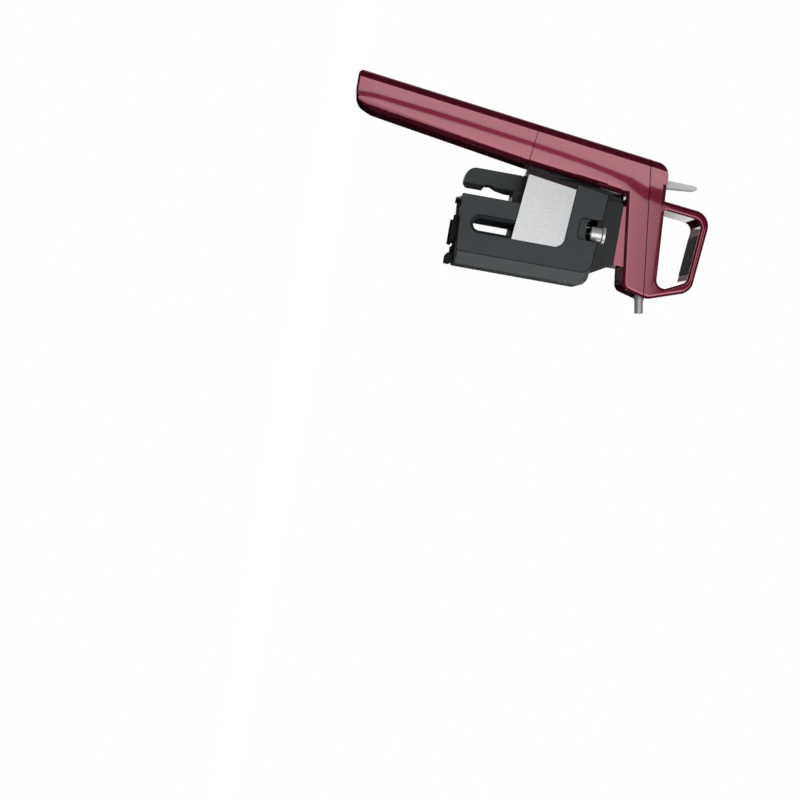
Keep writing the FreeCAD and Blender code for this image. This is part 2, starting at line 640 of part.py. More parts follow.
def make_clamp_frame():
    top, low = size("block_top"), -size("block_bottom")
    half = size("block_half_width")
    block = side_plate([(-27.6, low, 0), (-27.4, top, 1.2), (7.4, top, 2.0), (13.9, -6.8, 1.0),
                        (13.4, low, 0)],
                       -half, half)
    wall_half = size("wall_half_width")
    rear = RAIL_FRONT + 0.05
    wall = side_plate([(rear, -53.0, 0), (-24.2, -53.0, 0), (-24.2, -57.3, 0), (-PAD_OUTER + 0.4, -57.3, 0),
                       (-PAD_OUTER + 0.4, top - 3, 0), (-12, top - 3, 0), (-12, top, 0), (-30.6, top, 0),
                       (rear, -10, 0)], -wall_half, wall_half)
    # the wall's narrower top, beside which the block stands free
    narrow = size("wall_top_half_width")
    for side in (-1, 1):
        reach = sorted((side * narrow, side * (wall_half + 1)))
        wall = wall.cut(slab(-40, -10, *reach, low, top + 1))
    frame = block.fuse(wall)
    # lugs that carry the jaws' hinge pins
    for side in (-1, 1):
        lug = floor_plate([(-24, side * 6, 0), (-24, side * 17.6, 2.0), (-11, side * 21.2, 0),
                           (-7.5, side * 22.2, 0), (-3.6, side * 19.4, 0), (-3.6, side * 14, 0)],
                          LUG_BOTTOM, LUG_TOP)
        frame = frame.fuse(lug)
    # neck's way, mouth's socket, bushing and gasket seats
    lip = size("neck_radius") + size("mouth_clearance")
    frame = frame.cut(rod(lip, Vector(0, 0, -90), Vector(0, 0, low)))
    frame = frame.cut(rod(PAD_OUTER + 0.05, Vector(0, 0, -90), Vector(0, 0, -40)))
    frame = frame.cut(rod(2.6, Vector(0, 0, -0.2), Vector(0, 0, 10)))
    frame = frame.cut(rod(1.6, Vector(0, 0, -20), Vector(0, 0, 10)))
    # room for the pin heads and sleeves, holes for the pins
    for side in (-1, 1):
        pin_y = side * PIN_Y
        frame = frame.cut(rod(size("head_radius") + 0.35, Vector(PIN_X, pin_y, -20),
                              Vector(PIN_X, pin_y, -2.8)))
        frame = frame.cut(rod(size("pin_radius"), Vector(PIN_X, pin_y, -40), Vector(PIN_X, pin_y, -20)))
    # fork for the lever and its pin
    fork = size("lever_half_width") + 0.35
    frame = frame.cut(slab(-40, -21.2, -fork, fork, -60, -44.6))
    frame = frame.cut(rod(size("lever_pin_radius"), lever_pivot(-20), lever_pivot(20)))
    for z in (-36.0, -12.0):
        frame = frame.cut(rod(1.45, Vector(-40, 0, z), Vector(-22.5, 0, z)))
    return frame


def lever_pivot(y):
    return Vector(-size("lever_pivot_setback"), y, -size("lever_pivot_drop"))


shaped("clamp_frame", make_clamp_frame())


def make_rail():
    """T-section rail; the screws sink into its flange."""
    back, front = RAIL_REAR, RAIL_FRONT
    flange, stem = size("rail_half_width"), size("rail_stem")
    step = back + size("rail_flange")
    low, top = -size("rail_bottom"), size("rail_top")
    rail = slab(back, step, -flange, flange, low, top).fuse(slab(step - 0.01, front, -stem, stem, low, top))
    for z in (-36.0, -12.0):
        rail = rail.cut(rod(1.5, Vector(back - 1, 0, z), Vector(front + 1, 0, z)))
        rail = rail.cut(rod(2.35, Vector(back - 1, 0, z), Vector(back + 1.3, 0, z)))
    rail = rail.cut(rod(1.3, Vector(back - 1, 0, top - 3.6), Vector(step + 0.01, 0, top - 3.6)))
    return rail


shaped("slide_rail", make_rail())
for index, z in enumerate(("36", "12"), start=1):
    turned(f"rail_screw_{index}", [("0", "0.7"), ("1.1", "0.7"), ("1.1", "0"), ("2.25", "0"), ("2.25", "1.2"),
                                   ("1.4", "1.2"), ("1.4", "14.6"), ("0", "14.6")],
           ("-@rail_back + 0.05", "0", "-" + z), Rotation(Vector(0, 1, 0), 90))
turned("rail_stop", [("0", "0"), ("1.25", "0"), ("1.25", "1.7"), ("0", "1.7")],
       ("-@rail_back + 0.05", "0", "@rail_top - 3.6"), Rotation(Vector(0, 1, 0), 90))


def make_carriage():
    """Block under the spine that wraps the rail's flange."""
    half = size("carriage_half_width")
    low = -size("rail_bottom") + 0.5
    high = low + size("carriage_length")
    gap = size("rail_clearance")
    wear = 0.8
    block = side_plate([(-40.45, low, 0), (-34.6, low, 0.8), (-34.6, high - 0.02, 0.8),
                        (-40.45, high - 0.02, 0)],
                       -half + 0.05, half - 0.05)
    slot = size("rail_half_width") + gap
    block = block.cut(slab(RAIL_REAR - gap - wear, RAIL_REAR + size("rail_flange") + gap,
                           -slot, slot, low - 1, high + 1))
    stem = size("rail_stem") + gap
    return block.cut(slab(RAIL_REAR, -30, -stem, stem, low - 1, high + 1))


shaped("carriage", make_carriage())
low_end = "-@rail_bottom + 0.5 + @carriage_length / 2"
pad("carriage_liner", "XY_Plane", [
    ("-@rail_back - @rail_clearance - 0.78", "-@rail_half_width"),
    ("-@rail_back - @rail_clearance", "-@rail_half_width"),
    ("-@rail_back - @rail_clearance", "@rail_half_width"),
    ("-@rail_back - @rail_clearance - 0.78", "@rail_half_width")],
    "@carriage_length - 1", ("0", "0", low_end))

turned("needle_bushing", [("@needle_radius + 0.06", "0"), ("2.55", "0"), ("2.55", "4.6"),
                          ("@needle_radius + 0.7", "4.6"), ("@needle_radius + 0.06", "3.4")],
       ("0", "0", "-0.15"))
gasket_height = "@datum_rise - @block_bottom - 0.37"
turned("mouth_gasket", [("2.2", "0"), ("12.9", "0"), ("13.2", "0.3"), ("13.2", gasket_height),
                        ("2.2", gasket_height)],
       ("0", "0", "0.35 - @datum_rise"))


def make_lever():
    half, drop = size("lever_half_width"), -size("lever_tip")
    profile = [(-31.6, -46.6, 2.0), (-31.6, -51.5, 0), (-33.6, -53.5, 0), (-33.6, drop + 0.4, 6.2),
               (-25.0, drop, 1.2), (-22.6, drop + 1.8, 1.0), (-22.6, -73.9, 0.6), (-24.9, -73.6, 0.4),
               (-25.2, -69.6, 0.5), (-23.6, -66.6, 2.0), (-22.6, -61.0, 2.0), (-23.0, -46.6, 2.5)]
    lever = side_plate(profile, -half, half)
    # bevels beside the thumb face
    for side in (-1, 1):
        lever = lever.cut(floor_plate([(-24.4, side * half, 0), (-21.4, side * (half - 3.0), 0),
                                       (-21.4, side * (half + 1), 0), (-24.4, side * (half + 1), 0)],
                                       -90, -53))
    wall = size("lever_wall")
    lever = lever.cut(slab(-33.6 + wall, -20, -half + wall, half - wall, drop + 6.0, -40))
    return lever.cut(rod(size("lever_pin_radius") + 0.06, lever_pivot(-20), lever_pivot(20)))


shaped("lever", make_lever())
turned("lever_pin", [("0", "0"), ("@lever_pin_radius", "0"),
                     ("@lever_pin_radius", "@wall_half_width * 2 - 0.6"),
                     ("0", "@wall_half_width * 2 - 0.6")],
       ("-@lever_pivot_setback", "@wall_half_width - 0.3", "-@lever_pivot_drop"),
       Rotation(Vector(1, 0, 0), 90))
coil_length = "@lever_half_width * 2 - @lever_wall * 2 - 0.8"
turned("lever_spring", [("@lever_pin_radius + 0.02", "0"), ("2.7", "0"), ("2.7", coil_length),
                        ("@lever_pin_radius + 0.02", coil_length)],
       ("-@lever_pivot_setback", "@lever_half_width - @lever_wall - 0.4", "-@lever_pivot_drop"),
       Rotation(Vector(1, 0, 0), 90))


def sector(inner, outer, from_deg, to_deg, z0, z1, side=1):
    """Part of a ring about the needle's axis; angles run from +X towards the side's own Y."""
    def at(radius, degrees):
        turn = math.radians(degrees)
        return Vector(radius * math.cos(turn), side * radius * math.sin(turn), z0)

    middle = (from_deg + to_deg) / 2
    wire = Part.Wire([Part.Arc(at(outer, from_deg), at(outer, middle), at(outer, to_deg)).toShape(),
                      Part.makeLine(at(outer, to_deg), at(inner, to_deg)),
                      Part.Arc(at(inner, to_deg), at(inner, middle), at(inner, from_deg)).toShape(),
                      Part.makeLine(at(inner, from_deg), at(outer, from_deg))])
    return Part.Face(wire).extrude(Vector(0, 0, z1 - z0))


saddle_inner = NECK + 1.4
shaped("saddle_strip", sector(saddle_inner, PAD_OUTER, 152, 208, -86.0, -45.0))
shaped("saddle_pad", sector(NECK, saddle_inner - 0.02, 152, 208, -87.6, -58.0))

# ---------------------------------------------------------------- jaws


def stadium(width, low, high, middle, y):
    """Closed wire of a slot with round ends, in the plane Y = y."""
    half = width / 2
    corners = [(middle - half, low, half - 0.001), (middle + half, low, half - 0.001),
               (middle + half, high, half - 0.001), (middle - half, high, half - 0.001)]
    return rounded_wire(corners, lambda a, b: Vector(a, y, b))


def jaw_rear_at(z):
    """Slanted rear edge of the jaws' upper part."""
    return -size("jaw_rear") + math.tan(math.radians(size("jaw_lean"))) * (z + size("plate_low"))


def plate_rear_at(z):
    """Where the badge plate bends round the jaw's rear edge."""
    return jaw_rear_at(z) + size("wrap_run")


def plate_corners(margin=0.0):
    front, low, high = size("plate_front"), -size("plate_low"), -size("plate_high")
    return [(plate_rear_at(low), low - margin, 0), (plate_rear_at(high), high + margin, 0),
            (front + margin, high - 2.2 + margin, size("plate_corner")),
            (front + margin, low - 3.5 - margin, 0)]


def along_rear(points, low, high):
    """Bar that follows the jaw's slanted rear edge; points are (X from the bend, Y)."""
    wire = Part.makePolygon([Vector(plate_rear_at(low) + a, b, low) for a, b in points + points[:1]])
    return Part.Face(wire).extrude(Vector(jaw_rear_at(high) - jaw_rear_at(low), 0, high - low))


def jaw_outline(front, corner, y):
    bottom, rear = -size("jaw_bottom"), -size("jaw_rear_low")
    top, low = -size("jaw_top"), -size("plate_low") - 0.2
    corners = [(rear, bottom - 1.0, 1.0), (front, bottom + 1.0, 1.5), (front, top - 2.9, corner),
               (jaw_rear_at(top), top, 1.0), (jaw_rear_at(low), low, 0.8), (rear, low - 1.6, 0.6)]
    return rounded_wire(corners, lambda a, b: Vector(a, y, b))


def make_jaw_shell():
    """Right-hand jaw; the left one is its mirror image."""
    gap = size("front_gap") / 2
    edge = JAW - size("bevel_depth")
    bevelled = Part.makeLoft([jaw_outline(size("jaw_front"), size("jaw_corner"), edge),
                              jaw_outline(size("bevel_start"), size("bevel_corner"), JAW)], True, True)
    behind = Part.Face(jaw_outline(size("jaw_front"), size("jaw_corner"), edge))
    jaw = behind.extrude(Vector(0, gap - edge, 0)).fuse(bevelled)
    inner = JAW - size("jaw_wall")
    # open behind the hinge and beside the frame's lugs, the block and the lever
    jaw = jaw.cut(slab(-50, -1.6, -1, inner, -52.0, 0))
    jaw = jaw.cut(slab(-50, -9.2, -1, inner, -95, -51.9))
    jaw = jaw.cut(slab(-50, 30, -1, size("block_half_width") + 0.9, -10.2, 0))
    # ears above and below the frame's lug
    for top, low, back in ((LUG_TOP + 0.4 + size("upper_knuckle"), LUG_TOP + 0.4, 7.5),
                           (LUG_BOTTOM - 0.4, LUG_BOTTOM - 0.4 - size("knuckle_height"),
                            size("knuckle_radius"))):
        ear = rod(size("knuckle_radius"), Vector(PIN_X, PIN_Y, low), Vector(PIN_X, PIN_Y, top))
        ear = ear.fuse(slab(PIN_X, -1.4, PIN_Y - size("knuckle_radius"), inner + 0.35, low, top))
        ear = ear.fuse(slab(PIN_X - back, PIN_X, PIN_Y, inner + 0.35, low, top))
        jaw = jaw.fuse(ear)
    jaw = jaw.cut(rod(PAD_OUTER + 0.02, Vector(0, 0, -120), Vector(0, 0, 10)))
    bore = size("pin_radius") + size("pin_clearance")
    jaw = jaw.cut(rod(bore, Vector(PIN_X, PIN_Y, -45), Vector(PIN_X, PIN_Y, -5)))
    # sight window with its bevelled rim
    middle, low, high = -size("slot_middle"), -size("slot_bottom"), -size("slot_top")
    rim = (size("slot_rim_width") - size("slot_width")) / 2
    through = stadium(size("slot_width"), low + rim, high - rim, middle, 12.0)
    jaw = jaw.cut(Part.Face(through).extrude(Vector(0, 20, 0)))
    bevel = Part.makeLoft([stadium(size("slot_width"), low + rim, high - rim, middle, JAW - 2.0),
                           stadium(size("slot_rim_width") + 0.2, low - 0.1, high + 0.1, middle, JAW + 0.2)],
                           True, True)
    jaw = jaw.cut(bevel)
    # notch that shows the hinge's sleeve, shallow over the upper ear and open above it
    ear_top = LUG_TOP + 0.4 + size("upper_knuckle")
    for floor, depth in ((ear_top - 3.8, inner + 0.35), (ear_top + 0.6, inner - 3.5)):
        jaw = jaw.cut(side_plate([(-14.6, floor, 2.4), (-2.9, floor, 2.4), (-2.9, 5, 0), (-14.6, 5, 0)],
                                 depth, 30))
    # seat of the badge plate, and the ribbed slope under its wrapped edge
    seat = size("plate_thickness") - size("plate_proud")
    run, drop = size("wrap_run"), size("wrap_depth")
    rib = [(2.4, inner + 0.1), (0.8, inner + 0.1), (-run, JAW - seat - drop - 1.2), (-run, JAW - seat - drop),
           (0, JAW - seat)]
    low, high = -size("plate_low") - 0.05, -size("plate_high") + 0.05
    jaw = jaw.fuse(along_rear(rib, low, high))
    jaw = jaw.cut(along_rear([(0, JAW + 1), (0, JAW - seat), (-run - 1, JAW - seat - drop * (run + 1) / run),
                              (-run - 1, JAW + 1)], low, high))
    return jaw.cut(side_plate(plate_corners(0.05), JAW - seat, JAW + 1))


def make_badge_plate():
    """Plate of the right-hand jaw, bent round the jaw's rear edge."""
    back, face = JAW - size("plate_thickness") + size("plate_proud") + 0.02, JAW + size("plate_proud")
    run, drop = size("wrap_run"), size("wrap_depth")
    flange = along_rear([(0, face), (0, back), (-run, back - drop), (-run, face - drop)],
                        -size("plate_low"), -size("plate_high"))
    return side_plate(plate_corners(), back, face).fuse(flange)


def make_jaw_pad():
    """Rubber liner of the right-hand jaw, with two feet that stand out below the shell."""
    outer = PAD_OUTER
    liner = sector(NECK, outer, 6, 98, -84.0, -size("datum_rise") + 0.3)
    side_foot = sector(NECK, outer + 1.6, 57, 104, -87.9, -85.6)
    side_foot = side_foot.fuse(sector(NECK, outer, 57, 104, -87.9, -83.9))
    near, far = outer - 1.05, size("jaw_front") - 0.1
    front_foot = side_plate([(near, -88.2, 1.2), (far, -88.2, 1.2), (far, -84.6, 0.6), (near, -84.6, 0.3)],
                            1.2, 11.8)
    front_foot = front_foot.fuse(sector(NECK, outer, 6, 40, -86.0, -83.9))
    body = liner.fuse(side_foot).fuse(front_foot)
    middle, low, high = -size("slot_middle"), -size("slot_bottom"), -size("slot_top")
    window = stadium(size("slot_width") - 0.6, low + 1.9, high - 1.9, middle, 5.0)
    body = body.cut(Part.Face(window).extrude(Vector(0, 20, 0)))
    for degrees in range(16, 60, 14):
        body = body.cut(sector(NECK - 1, NECK + 0.8, degrees, degrees + 4, -95, 0))
    return body


def left_of(shape):
    return shape.mirror(Vector(0, 0, 0), Vector(0, 1, 0))


for label, shape in (("jaw_shell", make_jaw_shell()), ("jaw_pad", make_jaw_pad()),
                     ("badge_plate", make_badge_plate())):
    shaped(label + "_right", shape)
    shaped(label + "_left", left_of(shape))

for label, y in (("right", "@pin_offset"), ("left", "-@pin_offset")):
    turned("hinge_pin_" + label, [
        ("0", "0"), ("@pin_radius", "0"), ("@pin_radius", "35"), ("@head_radius", "35"),
        ("@head_radius", "35 + @head_thickness"), ("0", "35 + @head_thickness")],
        ("-@pin_setback", y, "-39.9"))
    turned("hinge_sleeve_" + label, [
        ("@pin_radius + 0.02", "0"), ("@sleeve_radius", "0"), ("@sleeve_radius", "@sleeve_length"),
        ("@pin_radius + 0.02", "@sleeve_length")],
        ("-@pin_setback", y, "-5.3 - @sleeve_length"))
    turned("jaw_spring_" + label, [
        ("@pin_radius + 0.02", "0"), ("3.1", "0"), ("3.1", "@spring_height"),
        ("@pin_radius + 0.02", "@spring_height")],
        ("-@pin_setback", y, "-11.6 - @spring_height"))

# ---------------------------------------------------------------- build, test and write

doc.recompute()
for thing in doc.Objects:
    assert not {"Invalid", "Error"} & set(thing.State), thing.Label + " did not build"
os.makedirs("parts", exist_ok=True)
for node in nodes:
    assert not node.Shape.isNull() and node.Shape.isValid(), node.Label + " has no valid shape"
    node.Shape.exportStep("parts/" + node.Label + ".step")
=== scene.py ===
import json
import math

import bmesh
import bpy
from mathutils import Matrix, Vector


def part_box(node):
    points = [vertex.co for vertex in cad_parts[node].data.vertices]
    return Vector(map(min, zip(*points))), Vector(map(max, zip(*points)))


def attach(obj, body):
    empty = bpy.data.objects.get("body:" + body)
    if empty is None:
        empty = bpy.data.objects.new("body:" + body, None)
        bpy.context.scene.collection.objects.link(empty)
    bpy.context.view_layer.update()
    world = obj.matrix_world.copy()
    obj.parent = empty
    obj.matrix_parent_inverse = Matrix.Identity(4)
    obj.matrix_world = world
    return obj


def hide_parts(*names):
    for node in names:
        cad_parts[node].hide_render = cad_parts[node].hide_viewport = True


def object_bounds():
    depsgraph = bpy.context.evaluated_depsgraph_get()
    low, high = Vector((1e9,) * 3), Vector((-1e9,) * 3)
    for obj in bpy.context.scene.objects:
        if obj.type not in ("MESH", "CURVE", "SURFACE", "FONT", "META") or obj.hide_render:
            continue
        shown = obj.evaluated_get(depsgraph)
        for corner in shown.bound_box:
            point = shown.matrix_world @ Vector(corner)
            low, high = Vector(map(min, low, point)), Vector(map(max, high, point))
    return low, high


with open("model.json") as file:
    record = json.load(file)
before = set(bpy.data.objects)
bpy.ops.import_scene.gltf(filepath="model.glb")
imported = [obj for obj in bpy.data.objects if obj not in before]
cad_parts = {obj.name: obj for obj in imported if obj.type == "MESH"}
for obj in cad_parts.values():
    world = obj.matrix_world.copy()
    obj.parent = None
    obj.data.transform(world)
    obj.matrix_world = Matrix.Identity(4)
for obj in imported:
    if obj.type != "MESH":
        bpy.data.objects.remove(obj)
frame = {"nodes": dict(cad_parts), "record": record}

MM = 0.001
CAD_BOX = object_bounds()
NODES = frame["nodes"]
BODY_OF = {name: body for body, names in frame["record"]["behaviour"]["bodies"].items() for name in names}


# ---------------------------------------------------------------- materials

NOISE_REACH = (0.3, 0.7)    # nearly all of a noise texture's values lie between these


def linear(hex_colour):
    """An sRGB hex colour as linear RGBA."""
    channels = [int(hex_colour[i:i + 2], 16) / 255 for i in (0, 2, 4)]
    return tuple(c / 12.92 if c <= 0.04045 else ((c + 0.055) / 1.055) ** 2.4 for c in channels) + (1.0,)


def add(tree, kind, inputs=None, **settings):
    """Adds a node with its settings; an input is a value or another node's output."""
    node = tree.nodes.new(kind)
    for name, value in settings.items():
        setattr(node, name, value)
    for name, value in (inputs or {}).items():
        if isinstance(value, bpy.types.NodeSocket):
            tree.links.new(value, node.inputs[name])
        else:
            node.inputs[name].default_value = value
    return node


def begin(name):
    """A new material with its surface shader and the piece's own coordinates, in metres."""
    material = bpy.data.materials.new(name)
    material.use_nodes = True
    tree = material.node_tree
    shader = tree.nodes["Principled BSDF"]
    where = add(tree, "ShaderNodeTexCoord").outputs["Object"]
    return material, tree, shader, where


def scale_for(size_mm):
    """The texture scale that draws features of a real size in millimetres."""
    return 1000.0 / size_mm


def noise(tree, where, size_mm, detail):
    """Plain noise of a real size."""
    return add(tree, "ShaderNodeTexNoise", {"Vector": where, "Scale": scale_for(size_mm), "Detail": detail})


def stretched(tree, value, reach, low, high, **settings):
    """A value that runs over a reach, spread between low and high instead."""
    spread = add(tree, "ShaderNodeMapRange", {"Value": value, "From Min": reach[0], "From Max": reach[1],
                                              "To Min": low, "To Max": high}, **settings)
    return spread.outputs["Result"]


def mottled(tree, where, size_mm, low, high):
    """Soft blotches of a real size, between low and high."""
    return stretched(tree, noise(tree, where, size_mm, 3.0).outputs["Fac"], NOISE_REACH, low, high)


def mottled_colour(tree, shader, where, size_mm, one, other):
    """Blotches of two near colours, so that a large face isn't one flat tone."""
    tint = add(tree, "ShaderNodeMix", {"A": one, "B": other}, data_type="RGBA")
    tree.links.new(mottled(tree, where, size_mm, 0.0, 1.0), tint.inputs["Factor"])
    tree.links.new(tint.outputs["Result"], shader.inputs["Base Color"])


def bumped(tree, shader, height, distance_mm, strength):
    """A relief of a real depth on the surface."""
    bump = add(tree, "ShaderNodeBump", {"Height": height, "Distance": distance_mm * MM, "Strength": strength})
    tree.links.new(bump.outputs["Normal"], shader.inputs["Normal"])


def burgundy_lacquer():
    """Die-cast metal under a burgundy metallic lacquer and a clear coat: deep red with a fine sparkle,
    and sharp reflections that wash it pink where it faces a light."""
    material, tree, shader, where = begin("burgundy_metallic_lacquer")
    mottled_colour(tree, shader, where, 0.35, linear("962A44"), linear("A2304C"))
    # flakes of some 0.05 mm: about half lie flat and mirror, the others scatter
    flakes = noise(tree, where, 0.05, 1.0).outputs["Fac"]
    tree.links.new(stretched(tree, flakes, (0.50, 0.58), 0.05, 0.38), shader.inputs["Roughness"])
    shader.inputs["Metallic"].default_value = 0.75
    shader.inputs["Coat Weight"].default_value = 1.0
    shader.inputs["Coat Roughness"].default_value = 0.02
    # above a real lacquer's 1.5, because the reflections on this one are strong and pale
    shader.inputs["Coat IOR"].default_value = 1.9
    orange_peel = add(tree, "ShaderNodeTexVoronoi", {"Vector": where, "Scale": scale_for(0.22),
                                                     "Randomness": 1.0})
    bumped(tree, shader, orange_peel.outputs["Distance"], 0.004, 0.03)
    return material


def grey_abs(name, colour, rough):
    """ABS moulded in a spark-eroded tool: an even fine texture that breaks up the shine."""
    material, tree, shader, where = begin(name)
    lighter = tuple(min(1.0, c * 1.12) for c in linear(colour)[:3]) + (1.0,)
    mottled_colour(tree, shader, where, 6.0, linear(colour), lighter)
    tree.links.new(mottled(tree, where, 4.0, rough - 0.04, rough + 0.04), shader.inputs["Roughness"])
    shader.inputs["IOR"].default_value = 1.53
    # the tool's texture is some 0.05 mm fine, drawn at 0.25 mm so that it shows
    bumped(tree, shader, noise(tree, where, 0.25, 2.0).outputs["Fac"], 0.02, 0.35)
    return material


def moulded_rubber(name, dark, light):
    """Moulded silicone rubber: dull, nearly black, with a dusty sheen."""
    material, tree, shader, where = begin(name)
    mottled_colour(tree, shader, where, 3.0, linear(dark), linear(light))
    tree.links.new(mottled(tree, where, 2.5, 0.6, 0.75), shader.inputs["Roughness"])
    shader.inputs["IOR"].default_value = 1.42
    bumped(tree, shader, noise(tree, where, 0.4, 4.0).outputs["Fac"], 0.03, 0.4)
    return material


def lined_metal(name, colour, rough, along, line_mm, strength, metallic=1.0):
    """Metal whose fine lines from drawing, turning or brushing run along one axis and spread its
    reflections across it."""
    material, tree, shader, where = begin(name)
    drawn_out = 18.0    # a line's length over its width
    mapped = add(tree, "ShaderNodeMapping", {"Vector": where, "Scale": [1.0 if axis == along else drawn_out
                                                                        for axis in "XYZ"]})
    lines = noise(tree, mapped.outputs["Vector"], line_mm * drawn_out, 3.0).outputs["Fac"]
    uneven = stretched(tree, lines, NOISE_REACH, rough - 0.05, rough + 0.06)
    tree.links.new(uneven, shader.inputs["Roughness"])
    shader.inputs["Base Color"].default_value = linear(colour)
    shader.inputs["Metallic"].default_value = metallic
    bumped(tree, shader, lines, 0.006, strength)
    return material


def polished_chrome():
    """Bright chromium plate over nickel: mirror-like with a trace of buffing."""
    material, tree, shader, where = begin("bright_chromium_plate")
    shader.inputs["Base Color"].default_value = linear("E2E4E6")
    shader.inputs["Metallic"].default_value = 1.0
    tree.links.new(mottled(tree, where, 3.0, 0.05, 0.10), shader.inputs["Roughness"])
    return material


def white_acetal():
    """Machined acetal: waxy white with a low sheen."""
    material, tree, shader, where = begin("machined_acetal")
    shader.inputs["Base Color"].default_value = linear("E4E3DC")
    tree.links.new(mottled(tree, where, 1.5, 0.35, 0.45), shader.inputs["Roughness"])
    shader.inputs["Subsurface Weight"].default_value = 0.1
    shader.inputs["Subsurface Scale"].default_value = 1.0 * MM
    return material


def unlit_gap():
    """The dark inside a fine joint between two parts: bare wall that no light reaches."""
    material, tree, shader, where = begin("shadow_in_joint_shadow")
    mottled_colour(tree, shader, where, 1.5, linear("0A0607"), linear("140C0E"))
    shader.inputs["Roughness"].default_value = 0.9
    shader.inputs["Specular IOR Level"].default_value = 0.0
    return material


LACQUER = burgundy_lacquer()
JAW_ABS = grey_abs("moulded_grey_abs", "33393C", 0.42)     # slate grey with a broad soft shine
FRAME_ABS = grey_abs("moulded_dark_abs", "171B1F", 0.40)   # the same, nearly black
RUBBER = moulded_rubber("moulded_silicone_rubber", "141516", "1E1F20")
GRIP = moulded_rubber("ridged_grip_rubber", "343638", "3E4042")    # greyer, so that its ridges can be seen
SATIN = lined_metal("satin_anodised_plate", "E0E1E3", 0.30, "Z", 0.06, 0.03)              # even silver
STEEL = lined_metal("drawn_stainless_steel", "C6C5C2", 0.22, "X", 0.12, 0.3)              # bright, warm
TUMBLED = lined_metal("tumbled_stainless_steel", "DCDCDA", 0.45, "X", 0.12, 0.1, 0.7)     # dull, pale
NICKEL = lined_metal("satin_nickel_plate", "F2F2F2", 0.30, "Z", 0.1, 0.05, 0.6)           # bright, soft
BLASTED = lined_metal("bead_blasted_nickel", "E6E7E8", 0.5, "Z", 0.1, 0.05, 0.3)          # frosted white
ALUMINIUM = lined_metal("clear_anodised_aluminium", "C9CBCD", 0.32, "Z", 0.2, 0.2)        # cool grey
BLACK_ALUMINIUM = lined_metal("black_anodised_aluminium", "3A3C40", 0.35, "Z", 0.2, 0.1)  # dark, metallic
BRASS = lined_metal("turned_brass", "C9A24F", 0.26, "Z", 0.15, 0.3)                       # yellow shine
SPRING_STEEL = lined_metal("blued_spring_wire", "3A3D42", 0.3, "Z", 0.1, 0.2)             # blue-grey glint
CHROME = polished_chrome()
ACETAL = white_acetal()
SHADOW_GAP = unlit_gap()

FINISH = {"lacquered_metal": LACQUER, "body_plastic": JAW_ABS, "satin_plate": SATIN, "rubber": RUBBER,
          "chrome": CHROME, "stainless_steel": STEEL, "aluminium": ALUMINIUM, "brass": BRASS,
          "white_acetal": ACETAL}
for entry in frame["record"]["subparts"]:
    mesh = NODES[entry["node"]].data
    mesh.materials.clear()
    mesh.materials.append(FINISH[entry["material_slot"]])


# ---------------------------------------------------------------- pieces with softened edges

WELD = 0.002 * MM               # corners of neighbouring triangles lie closer than this
FLAT = math.radians(0.6)        # faces that turn by less than this are one face
SHARP = math.radians(28.0)      # edges that turn by more than this are rounded
ROUND_STEPS = 3                 # faces across a rounded edge
WIDE_ROUND_STEPS = 4            # and across the finger loop's and the cup's broader ones

SEAM_LEAN = math.radians(7.0)   # the spine's lean, and the rise of the cover's seam towards the spout
COVER_SEAM = Vector((0.0, 0.0, 31.2)) * MM     # where the cover's seam crosses the needle's axis
COVER_UP = Vector((-math.sin(SEAM_LEAN), 0.0, math.cos(SEAM_LEAN)))
CUP_UP = Vector((math.sin(SEAM_LEAN), 0.0, math.cos(SEAM_LEAN)))
CUP_SEAM = Vector((-62.9, 0.0, -39.8)) * MM - CUP_UP * 0.35 * MM    # a point of the cup's upper edge

LOOP_FROM_X, LOOP_TO_X = -28.6 * MM, 18.5 * MM    # between these the loop's edges are held by the fingers
LOOP_OVER_SEAM = 3.0 * MM                         # and they start this far over the cover's seam
LOOP_ROUND = 1.5 * MM
CUP_LOW_END = 13.0 * MM         # height of the cup's end that is rounded all round
CUP_ROUND = 1.2 * MM


def new_object(name, data):
    """A new object in the scene."""
    thing = bpy.data.objects.new(name, data)
    bpy.context.scene.collection.objects.link(thing)
    return thing


def whole_faces(node):
    """The sub-part's loose triangles welded and joined into whole faces."""
    work = bmesh.new()
    work.from_mesh(NODES[node].data)
    bmesh.ops.remove_doubles(work, verts=work.verts, dist=WELD)
    bmesh.ops.dissolve_limit(work, angle_limit=FLAT, verts=work.verts, edges=work.edges)
    return work


def mesh_of(work, name):
    """The worked shape as a mesh."""
    mesh = bpy.data.meshes.new(name)
    work.to_mesh(mesh)
    work.free()
    return mesh


def height_over(point, seam, up):
    """Distance of a point from a seam's plane."""
    return (point - seam).dot(up)


def round_over(work, edges, radius):
    """Rounds the edges given, however small the faces beside them are."""
    bmesh.ops.bevel(work, geom=edges, offset=radius, offset_type="OFFSET", segments=WIDE_ROUND_STEPS,
                    profile=0.5, affect="EDGES", clamp_overlap=False)


def round_window(work):
    """Rounds the finger loop's edges towards its opening, where it is held."""
    side = max(v.co.y for v in work.verts)

    def held(v):
        return (abs(v.co.y) > side - 0.1 * MM and LOOP_FROM_X < v.co.x < LOOP_TO_X
                and height_over(v.co, COVER_SEAM, COVER_UP) > LOOP_OVER_SEAM)

    rim = []
    for edge in work.edges:
        # an edge between the flat side and a wall square to it
        across = sorted(abs(face.normal.y) for face in edge.link_faces)
        if len(across) == 2 and across[0] < 0.1 and across[1] > 0.9 and all(held(v) for v in edge.verts):
            rim.append(edge)
    round_over(work, rim, LOOP_ROUND)


def round_low_end(work):
    """Rounds the cup's low end all round, as the cast part is."""
    low = min(v.co.z for v in work.verts)
    rim = [edge for edge in work.edges
           if len(edge.link_faces) == 2 and edge.is_convex and edge.calc_face_angle() > math.radians(50)
           and all(v.co.z < low + CUP_LOW_END for v in edge.verts)]
    round_over(work, rim, CUP_ROUND)


BROAD_ROUNDS = {"top_cover": round_window, "cup_shell": round_low_end}


